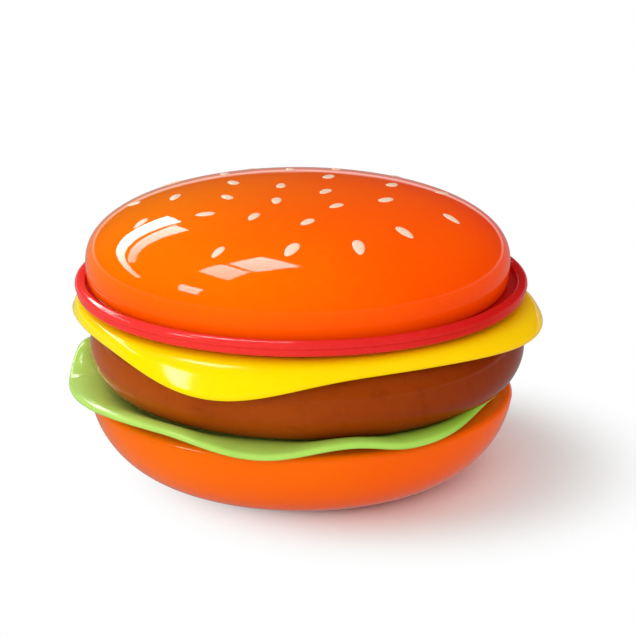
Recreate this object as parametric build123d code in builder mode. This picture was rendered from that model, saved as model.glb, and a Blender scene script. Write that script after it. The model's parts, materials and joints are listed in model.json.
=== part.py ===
from build123d import *
import os
from math import atan2, cos, degrees, hypot, pi, radians, sin

os.makedirs("parts", exist_ok=True)

# A telephone in the shape of a hamburger. The lower layers are the base, which carries the
# keys, and the top bun with its tomato plate is the lid, hinged at the back, which carries
# the receiver. Millimetres, +Z up, the axis of the bun on Z, the table at zero height, the
# front at -Y. An azimuth is counted from the front towards +X.

# ---- Layers, from the table up
foot_height = 0.8
bottom_bun_height = 22.7
leaf_thickness = 2.2
patty_height = 23.4
deck_thickness = 2.2
lid_gap = 1.3
plate_thickness = 2.0
rim_height = 6.3
bun_tuck_height = 6.6
bun_dome_height = 21.1
wall = 2.4

# ---- Radii of the layers
flat_radius = 41.0
bowl_radius = 61.5
bowl_power = 1.8
leaf_inner_radius = 48.0
patty_radius = 62.8
patty_bulge = 10.9
patty_inner_radius = 49.5
cheese_corner_reach = 6.3
rim_radius = 65.0
rim_width = 3.2
bun_side_gap = 0.9
bun_foot_gap = 2.8
patty_shift = (1.6, -0.8)
bun_shift = (-0.84, 0.39)

# ---- Hinge at the back
hinge_rise = 0.7
knuckle_radius = 3.0
knuckle_space = 0.6
pin_radius = 1.2
pin_length = 40.0
lid_knuckle_width = 15.6
knuckle_side_gap = 0.2
running_clearance = 0.05

# ---- Keys
key_width = 12.0
key_depth = 9.0
key_pitch_x = 15.5
key_pitch_y = 13.0
key_height = 1.0
key_travel = 0.9
key_clearance = 0.3
key_flange = 1.0
key_flange_height = 1.0
key_corner = 2.0
key_edge = 0.4
key_flange_corner = 1.0
key_seat_gap = 0.1
function_key_y = -33.5
function_key_depth = 6.0

# ---- Boards
board_thickness = 1.6
board_corner = 2.0
keypad_board_drop = 6.5
keypad_board_width = 48.0
keypad_board_front = 38.5
keypad_board_back = 30.0
keypad_tongue_back = 47.0
keypad_tongue_width = 18.0
mat_thickness = 1.2
main_board_width = 60.0
main_board_depth = 44.0
main_board_rise = 11.0

# ---- Fasteners
screw_radius = 1.4
screw_head_radius = 2.6
screw_head_height = 1.6
thread_clearance = 0.05
hole_clearance = 0.2
boss_wall = 2.0
lid_screw_length = 12.0
base_screw_length = 20.0
clamp_screw_length = 8.0
board_screw_length = 8.0
ballast_screw_length = 5.0
keypad_screw_length = 5.0

# ---- Hook
hook_y = 40.0
hook_stem_radius = 2.0
hook_flange_radius = 3.4
hook_stem_edge = 0.5
hook_rod_radius = 1.2
hook_travel = 3.0
hook_flange_height = 1.0
hook_rod_grip = 1.5
hook_well_depth = 0.5
hook_switch_height = 7.0
hook_switch_width = 12.0
hook_switch_depth = 8.0

# ---- Receiver and microphone
receiver_y = -10.0
receiver_radius = 18.0
receiver_height = 10.0
receiver_flange_height = 5.0
receiver_back_radius = 13.0
clamp_length = 56.0
clamp_width = 9.0
clamp_corner = 3.0
clamp_thickness = 1.6
gasket_thickness = 1.0
microphone_y = -44.0
microphone_radius = 4.85
microphone_height = 4.5
boot_wall = 0.8

# ---- Line socket
socket_width = 16.0
socket_height = 12.0
socket_depth = 15.0
socket_face_y = 54.5
socket_z = 8.0
socket_mouth_width = 9.65
socket_mouth_height = 6.7
socket_mouth_depth = 10.0

# ---- Places that follow from the rim: the bun stands in it, the pin lies under its edge
rim_inner_radius = rim_radius - rim_width
bun_radius = rim_inner_radius - bun_side_gap
bun_foot_radius = rim_inner_radius - bun_foot_gap
hinge_y = rim_radius

# ---- Levels that follow from the layers
bun_rim_z = foot_height + bottom_bun_height
leaf_top_z = bun_rim_z + leaf_thickness
patty_top_z = leaf_top_z + patty_height
deck_top_z = patty_top_z + deck_thickness
plate_z = deck_top_z + lid_gap
plate_top_z = plate_z + plate_thickness
bun_equator_z = plate_top_z + bun_tuck_height
inner_floor_z = foot_height + wall
hinge_z = deck_top_z + hinge_rise
keypad_board_top_z = patty_top_z - keypad_board_drop
keypad_board_z = keypad_board_top_z - board_thickness
main_board_z = inner_floor_z + main_board_rise
main_board_top_z = main_board_z + board_thickness


def polar(radius, azimuth):
    """The place at a radius and an azimuth, counted from the front towards +X."""
    return (radius * sin(radians(azimuth)), -radius * cos(radians(azimuth)))


def superellipse(centre, radii, power, start, stop, count=9):
    """Points of the curve |x/a|^p + |z/b|^q = 1 between two angles from the x axis."""
    points = []
    for step in range(count):
        angle = radians(start + (stop - start) * step / (count - 1))
        across = abs(cos(angle)) ** (2 / power[0])
        up = abs(sin(angle)) ** (2 / power[1])
        if angle < 0:
            up = -up
        points.append((centre[0] + radii[0] * across, centre[1] + radii[1] * up))
    return points


def discs(z, radius, places):
    """Circles of one radius at several places on the level z."""
    with BuildSketch(Plane.XY.offset(z), mode=Mode.PRIVATE) as level:
        with Locations(*places):
            Circle(radius)
    return level.sketch


def plates(z, width, depth, places, corner=0.0):
    """Rectangles of one size at several places on the level z, with rounded corners."""
    with BuildSketch(Plane.XY.offset(z), mode=Mode.PRIVATE) as level:
        with Locations(*places):
            if corner > 0:
                RectangleRounded(width, depth, corner)
            else:
                Rectangle(width, depth)
    return level.sketch


def corners(x, y):
    """Four places, mirrored about both axes."""
    return [(x, y), (-x, y), (x, -y), (-x, -y)]


def finish(piece, name):
    """Labels a piece and writes it to its file."""
    piece.part.label = name
    export_step(piece.part, f"parts/{name}.step")


# ---- Bottom bun shell: a bowl with a flat base, a rounded rim and the socket bay behind

base_screw_places = corners(28.3, 28.3)
base_screw_head_z = foot_height + 2.0
base_boss_top_z = 17.0
boss_radius = screw_radius + boss_wall
board_post_places = corners(26.0, 18.0)
board_post_radius = 3.0
ballast_post_places = [(-16.0, 0.0), (16.0, 0.0)]
ballast_height = 6.0
slider_y = -31.0
slider_places = [(-12.0, slider_y), (12.0, slider_y)]
slider_width = 3.6
slider_depth = 2.4
slider_gap = 0.1
ringer_travel = 2.0
dial_travel = 1.5
rim_round = 1.6
rim_flange_radius = 50.5
bay_wall = 2.0


def bowl(inset):
    """Half section of the bowl of the bottom bun, smaller all round by an inset."""
    radii = (bowl_radius - flat_radius - inset, bottom_bun_height - inset)
    curve_points = superellipse((flat_radius, bun_rim_z), radii, (bowl_power, bowl_power), 0, -90)
    with BuildSketch(Plane.XZ, mode=Mode.PRIVATE) as half:
        with BuildLine():
            curve = Spline(*curve_points)
            Polyline(curve @ 1, (0, curve_points[-1][1]), (0, bun_rim_z), curve @ 0)
        make_face()
    return half.sketch


with BuildPart() as bottom_bun_shell:
    revolve(bowl(0), axis=Axis.Z)
    revolve(bowl(wall), axis=Axis.Z, mode=Mode.SUBTRACT)
    # flange inside the rim, which the leaf lies on
    with BuildSketch(Plane.XY.offset(bun_rim_z - wall)):
        Circle(bowl_radius - wall / 2)
        Circle(rim_flange_radius, mode=Mode.SUBTRACT)
    extrude(amount=wall)
    rim_edges = bottom_bun_shell.edges().filter_by(GeomType.CIRCLE).group_by(Axis.Z)[-1]
    fillet(rim_edges.sort_by(SortBy.RADIUS)[-1], rim_round)
    # bosses for the base screws, the posts of the main board and those of the ballast
    extrude(discs(inner_floor_z - wall / 2, boss_radius, base_screw_places),
            amount=base_boss_top_z - inner_floor_z + wall / 2)
    extrude(discs(inner_floor_z - wall / 2, board_post_radius, board_post_places),
            amount=main_board_z - inner_floor_z + wall / 2)
    extrude(discs(inner_floor_z - wall / 2, board_post_radius, ballast_post_places),
            amount=ballast_height + wall / 2)
    # bay around the line socket, held inside the outer form of the bowl
    bay_width = socket_width + 2 * bay_wall
    bay_height = socket_height + 2 * bay_wall
    with BuildPart(mode=Mode.PRIVATE) as bay:
        extrude(plates(socket_z - bay_wall, bay_width, socket_depth + 2 * bay_wall,
                       [(0, socket_face_y)]), amount=bay_height)
        revolve(bowl(0), axis=Axis.Z, mode=Mode.INTERSECT)
    add(bay.part)
    extrude(plates(socket_z, socket_width, 4 * socket_depth, [(0, socket_face_y + socket_depth)]),
            amount=socket_height, mode=Mode.SUBTRACT)
    # screw holes from below, slots of the sliding switches
    extrude(discs(0, screw_head_radius + hole_clearance, base_screw_places),
            amount=base_screw_head_z + screw_head_height, mode=Mode.SUBTRACT)
    extrude(discs(0, screw_radius + hole_clearance, base_screw_places),
            amount=base_boss_top_z + 1, mode=Mode.SUBTRACT)
    extrude(discs(inner_floor_z, screw_radius + thread_clearance,
                  board_post_places + ballast_post_places),
            amount=main_board_z, mode=Mode.SUBTRACT)
    for place, travel in zip(slider_places, [ringer_travel, dial_travel]):
        extrude(plates(0, slider_width + 2 * (travel + slider_gap), slider_depth + 2 * slider_gap,
                       [place]), amount=inner_floor_z + 1, mode=Mode.SUBTRACT)
finish(bottom_bun_shell, "bottom_bun_shell")

# ---- Lettuce: one leaf between the bun and the patty, its edge in waves.
# Each entry is a crest or a trough of the edge: azimuth, radius, height of its underside.

leaf_waves = [
    (-110, 67.6, 24.0),
    (-62, 65.0, 26.3),
    (-35, 66.6, 23.6),
    (-13, 66.4, 26.7),
    (2, 66.4, 24.7),
    (38, 61.0, 25.7),
    (60, 60.6, 24.9),
    (100, 66.6, 24.0),
    (130, 65.0, 26.5),
    (155, 66.8, 24.0),
    (180, 65.0, 26.0),
    (206, 66.5, 23.8),
    (228, 66.2, 25.5),
    (250, 67.6, 24.0),
]
leaf_fold_start = 56.5
leaf_fold_end = 60.5
leaf_slack = 0.05
sheet_margin = 6.5


def half_wave(entries, azimuth):
    """The values between two entries round the axis, a half cosine wave from one to the next."""
    first = entries[0][0]
    turned = (azimuth - first) % 360 + first
    for before, after in zip(entries, entries[1:]):
        if turned <= after[0]:
            share = (turned - before[0]) / (after[0] - before[0])
            blend = (1 - cos(pi * share)) / 2
            return [a + (b - a) * blend for a, b in zip(before[1:], after[1:])]


def leaf_height(x, y):
    """Height of the leaf's underside: flat on the bun's rim, folding to the edge outside."""
    share = (hypot(x, y) - leaf_fold_start) / (leaf_fold_end - leaf_fold_start)
    edge_height = half_wave(leaf_waves, degrees(atan2(x, -y)))[1]
    return bun_rim_z + leaf_slack + (edge_height - bun_rim_z) * min(1, max(0, share))


def sheet(height, half_size, count):
    """A square spline face through heights over the middle of the part."""
    steps = [half_size * (2 * step / (count - 1) - 1) for step in range(count)]
    rows = [[Vector(x, y, height(x, y)) for x in steps] for y in steps]
    return Face.make_surface_from_array_of_points(rows, tol=0.05)


def loop(z, radius_at, count=60):
    """A smooth closed outline on the level z, from a radius at each azimuth."""
    azimuths = [360 * step / count for step in range(count)]
    with BuildSketch(Plane.XY.offset(z), mode=Mode.PRIVATE) as level:
        with BuildLine():
            Spline(*[polar(radius_at(azimuth), azimuth) for azimuth in azimuths], periodic=True)
        make_face()
    return level.sketch


def patty_half(inset):
    """Half section of the patty's barrel, smaller all round by an inset."""
    barrel_plane = Plane(origin=(*patty_shift, 0), x_dir=(1, 0, 0), z_dir=(0, -1, 0))
    barrel_x = patty_radius - patty_bulge
    barrel_z = leaf_top_z + patty_height / 2
    with BuildSketch(barrel_plane, mode=Mode.PRIVATE) as half:
        with Locations((barrel_x, barrel_z)):
            Ellipse(patty_bulge - inset, patty_height / 2 - inset)
        with Locations((barrel_x, barrel_z)):
            Rectangle(2 * patty_bulge, 2 * patty_height, align=(Align.MAX, Align.CENTER),
                      mode=Mode.SUBTRACT)
        with Locations((barrel_x, barrel_z)):
            Rectangle(barrel_x - patty_inner_radius, patty_height - 2 * inset,
                      align=(Align.MAX, Align.CENTER))
    return half.sketch


patty_axis = Axis((*patty_shift, 0), (0, 0, 1))

with BuildPart() as lettuce_ring:
    leaf_reach = max(wave[1] for wave in leaf_waves) + sheet_margin
    extrude(sheet(leaf_height, leaf_reach, 31), amount=leaf_thickness - 2 * leaf_slack, dir=(0, 0, 1))
    leaf_outline = loop(0, lambda azimuth: half_wave(leaf_waves, azimuth)[0])
    extrude(leaf_outline, amount=2 * patty_top_z, mode=Mode.INTERSECT)
    extrude(discs(0, leaf_inner_radius, [(0, 0)]), amount=patty_top_z, mode=Mode.SUBTRACT)
finish(lettuce_ring, "lettuce_ring")

# ---- Patty: a hollow barrel ring, open inwards, clamped between the leaf and the deck

with BuildPart() as patty_ring:
    revolve(patty_half(0), axis=patty_axis)
    revolve(patty_half(wall), axis=patty_axis, mode=Mode.SUBTRACT)
finish(patty_ring, "patty_ring")

# ---- Cheese deck: a draped square sheet with a skirt, the face that the keys come through.
# The skirt hangs lowest at the four corners of the slice.

skirt_z = 46.2
skirt_drop_azimuths = [(-45, 5.0), (45, 1.0), (135, 3.0), (-135, 2.5)]
skirt_drop_sharpness = 16
# level below the deck's top, radius at the sides, share of the reach of the corners
cheese_levels = [(0.0, 61.5, 0.1), (1.5, 63.9, 0.4), (5.3, 64.5, 0.85), (12.3, 64.6, 1.08)]
slot_places = [(-3.0, microphone_y), (0.0, microphone_y), (3.0, microphone_y)]
slot_width = 1.2
slot_length = 6.0
keypad_post_places = [(-20.5, 27.6), (20.5, 27.6), (-20.5, -27.25), (20.5, -27.25)]
keypad_post_radius = 1.9
keypad_screw_radius = 0.9
keypad_head_radius = 1.7
keypad_head_height = 1.1
bumper_places = [(-38.0, -30.0), (38.0, -30.0)]
bumper_radius = 3.0
bumper_edge = 0.3
arm_root_y = cheese_levels[0][1] - 1.5
arm_foot_y = cheese_levels[2][1] - 2.1
arm_foot_z = skirt_z + 0.5
base_thread_depth = 12.0
keypad_thread_depth = 6.0
bumper_height = 1.0

digit_names = ["1", "2", "3", "4", "5", "6", "7", "8", "9", "star", "0", "hash"]
digit_places = [(key_pitch_x * (index % 3 - 1), key_pitch_y * (1.5 - index // 3))
                for index in range(12)]
function_names = ["redial", "flash", "mute"]
function_places = [(key_pitch_x * (index - 1), function_key_y) for index in range(3)]


def cheese_form(inset, lift):
    """The draped square, smaller by an inset, its top lowered by a lift."""
    sections = []
    for depth, side, share in cheese_levels:
        reach = cheese_corner_reach * share

        def radius_at(azimuth):
            return side - inset + reach * sin(radians(2 * azimuth)) ** 2

        lowered = lift if depth == 0 else lift / 3
        sections.append(loop(deck_top_z - depth - lowered, radius_at, 48))
    with BuildPart(mode=Mode.PRIVATE) as form:
        loft(sections)
    return form.part


def turn_to(x, y, azimuth):
    """The turn in radians between a place and an azimuth."""
    return atan2(x, -y) - radians(azimuth)


def skirt_height(x, y):
    """Height of the skirt's lower edge, level at the sides and dropping at the corners."""
    drop = 0
    for azimuth, depth in skirt_drop_azimuths:
        turn = turn_to(x, y, azimuth)
        if cos(turn) > 0.7:
            drop = max(drop, depth * cos(2 * turn) ** skirt_drop_sharpness)
    return skirt_z - drop


with BuildPart() as cheese_deck:
    add(cheese_form(0, 0))
    add(cheese_form(wall, deck_thickness), mode=Mode.SUBTRACT)
    skirt_reach = cheese_levels[-1][1] + cheese_levels[-1][2] * cheese_corner_reach + sheet_margin
    extrude(sheet(skirt_height, skirt_reach, 33), amount=deck_top_z, dir=(0, 0, -1), mode=Mode.SUBTRACT)
    # bosses for the base screws and posts for the keypad board, hanging from the deck
    extrude(discs(base_boss_top_z, boss_radius, base_screw_places),
            amount=patty_top_z - base_boss_top_z + deck_thickness / 2)
    extrude(discs(keypad_board_top_z, keypad_post_radius, keypad_post_places),
            amount=patty_top_z - keypad_board_top_z + deck_thickness / 2)
    # outer knuckles of the hinge with their arms
    for side in (1, -1):
        inner_x = lid_knuckle_width / 2 + knuckle_side_gap
        knuckle_plane = Plane.YZ.offset(side * inner_x)
        with BuildSketch(knuckle_plane):
            with Locations((hinge_y, hinge_z)):
                Circle(knuckle_radius)
            Polygon((arm_root_y, deck_top_z), (hinge_y, hinge_z),
                    (hinge_y, hinge_z - knuckle_radius), align=None)
            Polygon((arm_root_y, deck_top_z), (hinge_y, hinge_z - knuckle_radius),
                    (arm_foot_y, arm_foot_z), align=None)
        extrude(amount=side * (pin_length / 2 - inner_x))
    # room for the knuckle of the lid, bore of the pin
    with BuildSketch(Plane.YZ):
        with Locations((hinge_y, hinge_z)):
            Circle(knuckle_radius + knuckle_space)
    extrude(amount=lid_knuckle_width / 2 + knuckle_side_gap, both=True, mode=Mode.SUBTRACT)
    with BuildSketch(Plane.YZ):
        with Locations((hinge_y, hinge_z)):
            Circle(pin_radius)
    extrude(amount=pin_length, both=True, mode=Mode.SUBTRACT)
    # windows for the keys, slots for the microphone, the hook's hole
    window_width = key_width + 2 * key_clearance
    extrude(plates(patty_top_z, window_width, key_depth + 2 * key_clearance, digit_places,
                   key_corner), amount=deck_thickness, mode=Mode.SUBTRACT)
    extrude(plates(patty_top_z, window_width, function_key_depth + 2 * key_clearance,
                   function_places, key_corner), amount=deck_thickness, mode=Mode.SUBTRACT)
    extrude(plates(patty_top_z, slot_width, slot_length, slot_places, slot_width / 2.1),
            amount=deck_thickness, mode=Mode.SUBTRACT)
    extrude(discs(patty_top_z, hook_stem_radius + running_clearance, [(0, hook_y)]),
            amount=deck_thickness, mode=Mode.SUBTRACT)
    # threads
    extrude(discs(base_boss_top_z, screw_radius + thread_clearance, base_screw_places),
            amount=base_thread_depth, mode=Mode.SUBTRACT)
    extrude(discs(keypad_board_top_z, keypad_screw_radius + thread_clearance,
                  keypad_post_places), amount=keypad_thread_depth, mode=Mode.SUBTRACT)
finish(cheese_deck, "cheese_deck")

with BuildPart() as hinge_pin:
    with BuildSketch(Plane.YZ):
        with Locations((hinge_y, hinge_z)):
            Circle(pin_radius)
    extrude(amount=pin_length / 2, both=True)
finish(hinge_pin, "hinge_pin")

# ---- Tomato plate: a flat tray with a rounded rim, the floor of the lid

lid_screw_inset = 15.2
lid_screw_radius = bun_foot_radius - lid_screw_inset
lid_screw_places = [polar(lid_screw_radius, azimuth) for azimuth in (45, 135, 225, 315)]
lid_boss_radius = 4.4
lid_boss_top_z = plate_z + 4.4
lid_head_z = plate_z + 0.8
receiver_hole_radius = 1.1
receiver_hole_rings = [(0.0, 1), (4.5, 6), (9.0, 12)]
clamp_post_places = [(-23.5, receiver_y), (23.5, receiver_y)]
clamp_post_radius = 3.0
gasket_z = plate_top_z
receiver_z = gasket_z + gasket_thickness
clamp_z = receiver_z + receiver_height
band_height = 2.3
band_step = 0.4
band_corner = 1.2
bead_fall = 0.9
bead_setback = 0.1
lid_arm_root = 4.7
lid_arm_top = 4.5
lid_arm_setback = 0.6

with BuildPart() as tomato_plate:
    rim_top = plate_z + rim_height
    bead = rim_width / 2
    with BuildSketch(Plane.XZ):
        with BuildLine():
            band_x = rim_radius - band_step
            band_foot_x = band_x - band_corner
            band_z = plate_z + band_height
            bead_x = rim_radius - bead_setback
            Line((0, plate_z), (band_foot_x, plate_z))
            TangentArc((band_foot_x, plate_z), (band_x, plate_z + band_corner), tangent=(1, 0))
            Polyline((band_x, plate_z + band_corner), (band_x, band_z), (bead_x, band_z))
            Spline((bead_x, band_z), (rim_radius, band_z + bead_fall),
                   (rim_radius - bead, rim_top), tangents=[(0.3, 1), (-1, 0)])
            Spline((rim_radius - bead, rim_top), (rim_inner_radius, rim_top - bead),
                   tangents=[(-1, 0), (0, -1)])
            Polyline((rim_inner_radius, rim_top - bead), (rim_inner_radius, plate_top_z),
                     (0, plate_top_z), (0, plate_z))
        make_face()
    revolve(axis=Axis.Z)
    extrude(discs(plate_top_z, lid_boss_radius, lid_screw_places),
            amount=lid_boss_top_z - plate_top_z)
    extrude(discs(plate_top_z, clamp_post_radius, clamp_post_places),
            amount=clamp_z - plate_top_z)
    # room for the outer knuckles of the hinge
    for side in (1, -1):
        room = lid_knuckle_width / 2
        with BuildSketch(Plane.YZ.offset(side * room)):
            with Locations((hinge_y, hinge_z)):
                Circle(knuckle_radius + knuckle_space)
        extrude(amount=side * (pin_length / 2 - room + knuckle_space), mode=Mode.SUBTRACT)
    # middle knuckle with its arm, and its bore
    with BuildSketch(Plane.YZ):
        with Locations((hinge_y, hinge_z)):
            Circle(knuckle_radius)
        Polygon((hinge_y - lid_arm_root, plate_top_z), (hinge_y - lid_arm_root, plate_z),
                (hinge_y, hinge_z), (hinge_y + knuckle_radius, hinge_z),
                (hinge_y - lid_arm_setback, hinge_z + lid_arm_top), align=None)
    extrude(amount=lid_knuckle_width / 2, both=True)
    with BuildSketch(Plane.YZ):
        with Locations((hinge_y, hinge_z)):
            Circle(pin_radius + running_clearance)
    extrude(amount=pin_length, both=True, mode=Mode.SUBTRACT)
    # screw holes with room for the heads, holes in front of the receiver
    extrude(discs(plate_z, screw_head_radius + hole_clearance, lid_screw_places),
            amount=lid_head_z + screw_head_height - plate_z, mode=Mode.SUBTRACT)
    extrude(discs(plate_z, screw_radius + hole_clearance, lid_screw_places),
            amount=lid_boss_top_z - plate_z, mode=Mode.SUBTRACT)
    extrude(discs(receiver_z, screw_radius + thread_clearance, clamp_post_places),
            amount=receiver_height, mode=Mode.SUBTRACT)
    hole_places = []
    for ring_radius, count in receiver_hole_rings:
        for index in range(count):
            x, y = polar(ring_radius, 360 * index / count)
            hole_places.append((x, receiver_y + y))
    extrude(discs(plate_z, receiver_hole_radius, hole_places), amount=plate_thickness,
            mode=Mode.SUBTRACT)
finish(tomato_plate, "tomato_plate")

# ---- Top bun shell: a dome tucked in under its widest ring, standing in the tomato plate

bun_boss_radius = screw_radius + boss_wall
bun_boss_height = 24.0
bun_powers = (2.15, 2.41)
lid_thread_depth = 12.0
seed_length = 5.6
seed_width = 2.7
seed_thickness = 0.3
seed_clearance = 0.2
# distance from the crown, azimuth, turn of the seed out of the line to the crown
seed_places = [
    (5.4, -140, 35), (8.6, 40, 40), (14.5, -50, 20), (17.2, 124, -15), (20.1, 7, 65),
    (20.8, -141, 70), (21.2, -95, -15), (26.1, 47, -40), (26.8, 160, 20), (27.9, -50, -10),
    (29.3, 86, 20), (29.8, -20, 55), (32.3, -77, 0), (33.0, 135, 25), (34.0, -165, -30),
    (35.1, -116, 15), (42.3, 19, -30), (43.9, 82, 5), (44.9, 48, 10), (45.2, -4, -15),
    (45.0, -27, 15), (48.1, -52, 10), (46.8, -94, 15), (47.9, -122, -10), (46.0, 115, 20),
    (47.0, 146, -20), (45.5, 174, 15), (46.5, -152, 25),
]


def bun_half(inset):
    """Half section of the top bun, smaller all round by an inset, its foot left open."""
    dome = superellipse((0, bun_equator_z), (bun_radius - inset, bun_dome_height - inset),
                        bun_powers, 0, 90, 13)
    foot_x = bun_foot_radius - inset
    bun_plane = Plane(origin=(*bun_shift, 0), x_dir=(1, 0, 0), z_dir=(0, -1, 0))
    with BuildSketch(bun_plane, mode=Mode.PRIVATE) as half:
        with BuildLine():
            upper = Spline(*dome, tangents=[(0, 1), (-1, 0)])
            Spline((foot_x, plate_top_z), upper @ 0, tangents=[(0.55, 1), (0, 1)])
            Polyline(upper @ 1, (0, plate_top_z), (foot_x, plate_top_z))
        make_face()
    return half.sketch


bun_axis = Axis((*bun_shift, 0), (0, 0, 1))

with BuildPart() as top_bun_shell:
    revolve(bun_half(0), axis=bun_axis)
    revolve(bun_half(wall), axis=bun_axis, mode=Mode.SUBTRACT)
    with BuildPart(mode=Mode.PRIVATE) as lid_bosses:
        extrude(discs(lid_boss_top_z, bun_boss_radius, lid_screw_places), amount=bun_boss_height)
        revolve(bun_half(wall / 2), axis=bun_axis, mode=Mode.INTERSECT)
    add(lid_bosses.part)
    extrude(discs(lid_boss_top_z, screw_radius + thread_clearance, lid_screw_places),
            amount=lid_thread_depth, mode=Mode.SUBTRACT)
finish(top_bun_shell, "top_bun_shell")

with BuildPart() as sesame_seeds:
    for distance, azimuth, turn in seed_places:
        share = distance / bun_radius
        across, up = bun_powers
        left = 1 - share ** across
        height = bun_dome_height * left ** (1 / up)
        steepness = (bun_dome_height / bun_radius * across / up * share ** (across - 1)
                     * left ** (1 / up - 1))
        x, y = polar(1, azimuth)
        centre = (bun_shift[0] + distance * x, bun_shift[1] + distance * y,
                  bun_equator_z + height + seed_clearance)
        seed_plane = Plane(origin=centre, x_dir=(x, y, -steepness), z_dir=(steepness * x, steepness * y, 1))
        with BuildSketch(seed_plane):
            with Locations(Rotation(0, 0, turn)):
                Ellipse(seed_length / 2, seed_width / 2)
        extrude(amount=seed_thickness)
finish(sesame_seeds, "sesame_seeds")


def tube(z, height, outer, inner, place=(0, 0)):
    """A plain sleeve standing on the level z."""
    with BuildPart(mode=Mode.PRIVATE) as sleeve:
        extrude(discs(z, outer, [place]), amount=height)
        if inner > 0:
            extrude(discs(z, inner, [place]), amount=height, mode=Mode.SUBTRACT)
    return sleeve.part


def screws(head_z, length, places, radius=screw_radius, head=(screw_head_radius, screw_head_height),
           up=True):
    """Pan-head screws with their seat at head_z, the shank up or down from it."""
    direction = 1 if up else -1
    with BuildPart(mode=Mode.PRIVATE) as group:
        extrude(discs(head_z, head[0], places), amount=-direction * head[1])
        extrude(discs(head_z, radius, places), amount=direction * length)
        slot_z = head_z - direction * head[1]
        extrude(plates(slot_z, 1.4 * head[0], 0.35 * head[0], places), amount=direction * head[1] / 2,
                mode=Mode.SUBTRACT)
    return group.part


# ---- Fasteners and the receiver in the lid

with BuildPart() as lid_screws:
    add(screws(lid_head_z + screw_head_height, lid_screw_length, lid_screw_places))
finish(lid_screws, "lid_screws")

with BuildPart() as receiver_gasket:
    add(tube(gasket_z, gasket_thickness, receiver_radius, receiver_radius - 4, (0, receiver_y)))
finish(receiver_gasket, "receiver_gasket")

with BuildPart() as receiver_capsule:
    # flanged magnet cup, a step narrower at the back
    extrude(discs(receiver_z, receiver_radius, [(0, receiver_y)]), amount=receiver_flange_height)
    extrude(discs(receiver_z, receiver_back_radius, [(0, receiver_y)]), amount=receiver_height)
finish(receiver_capsule, "receiver_capsule")

with BuildPart() as receiver_clamp:
    extrude(plates(clamp_z, clamp_length, clamp_width, [(0, receiver_y)], clamp_corner),
            amount=clamp_thickness)
    extrude(discs(clamp_z, screw_radius + hole_clearance, clamp_post_places),
            amount=clamp_thickness, mode=Mode.SUBTRACT)
finish(receiver_clamp, "receiver_clamp")

with BuildPart() as clamp_screws:
    add(screws(clamp_z + clamp_thickness, clamp_screw_length, clamp_post_places, up=False))
finish(clamp_screws, "clamp_screws")

# ---- Keypad: board, mat, keys, microphone and hook under the deck

mat_dome_gap = 0.2
mat_dome_radius = 3.5
mat_corner = 1.5
key_top_z = deck_top_z + key_height
flange_top_z = patty_top_z - key_seat_gap
flange_z = flange_top_z - key_flange_height
keypad_depth = keypad_board_front + keypad_board_back
keypad_centre_y = (keypad_board_back - keypad_board_front) / 2
hook_top_z = deck_top_z + key_height
hook_flange_z = keypad_board_top_z + 2.2
hook_rod_z = keypad_board_z - hook_travel - hook_rod_grip
ribbon_width = 16.0
ribbon_thickness = 0.6
ribbon_y = -20.5

with BuildPart() as keypad_board:
    extrude(plates(keypad_board_z, keypad_board_width, keypad_depth, [(0, keypad_centre_y)],
                   board_corner),
            amount=board_thickness)
    extrude(plates(keypad_board_z, keypad_tongue_width,
                   2 * (keypad_tongue_back - keypad_board_back), [(0, keypad_board_back)],
                   board_corner),
            amount=board_thickness)
    extrude(discs(keypad_board_z, keypad_screw_radius + hole_clearance, keypad_post_places),
            amount=board_thickness, mode=Mode.SUBTRACT)
    extrude(discs(keypad_board_z, hook_rod_radius + hole_clearance, [(0, hook_y)]),
            amount=board_thickness, mode=Mode.SUBTRACT)
finish(keypad_board, "keypad_board")

with BuildPart() as keypad_mat:
    mat_places = digit_places + function_places
    mat_front = function_key_y - function_key_depth / 2 - key_flange
    mat_back = digit_places[0][1] + key_depth / 2 + key_flange
    extrude(plates(keypad_board_top_z, 2 * key_pitch_x + key_width, mat_back - mat_front,
                   [(0, (mat_front + mat_back) / 2)], mat_corner), amount=mat_thickness)
    extrude(discs(keypad_board_top_z, mat_dome_radius, digit_places),
            amount=flange_z - key_travel - mat_dome_gap - keypad_board_top_z)
    extrude(discs(keypad_board_top_z, function_key_depth / 2, function_places),
            amount=flange_z - key_travel - mat_dome_gap - keypad_board_top_z)
    extrude(discs(keypad_board_top_z, keypad_post_radius + hole_clearance, keypad_post_places),
            amount=mat_thickness, mode=Mode.SUBTRACT)
finish(keypad_mat, "keypad_mat")

with BuildPart() as keypad_board_screws:
    add(screws(keypad_board_z, keypad_screw_length, keypad_post_places, keypad_screw_radius,
               (keypad_head_radius, keypad_head_height)))
finish(keypad_board_screws, "keypad_board_screws")

for names, places, depth in [(digit_names, digit_places, key_depth),
                             (function_names, function_places, function_key_depth)]:
    for key_name, place in zip(names, places):
        with BuildPart() as key:
            extrude(plates(flange_z, key_width + 2 * key_flange, depth + 2 * key_flange, [place],
                           key_flange_corner),
                    amount=key_flange_height)
            extrude(plates(flange_z, key_width, depth, [place], key_corner),
                    amount=key_top_z - flange_z)
            fillet(key.faces().sort_by(Axis.Z)[-1].edges(), key_edge)
        finish(key, f"key_{key_name}")

with BuildPart() as microphone_boot:
    boot_radius = microphone_radius + boot_wall
    boot_height = microphone_height + boot_wall
    add(tube(patty_top_z - boot_height, boot_height, boot_radius, 0, (0, microphone_y)))
    extrude(discs(patty_top_z - microphone_height - boot_wall, microphone_radius,
                  [(0, microphone_y)]), amount=microphone_height, mode=Mode.SUBTRACT)
    extrude(discs(patty_top_z - boot_height, microphone_radius / 2, [(0, microphone_y)]),
            amount=boot_height, mode=Mode.SUBTRACT)
finish(microphone_boot, "microphone_boot")

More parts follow.
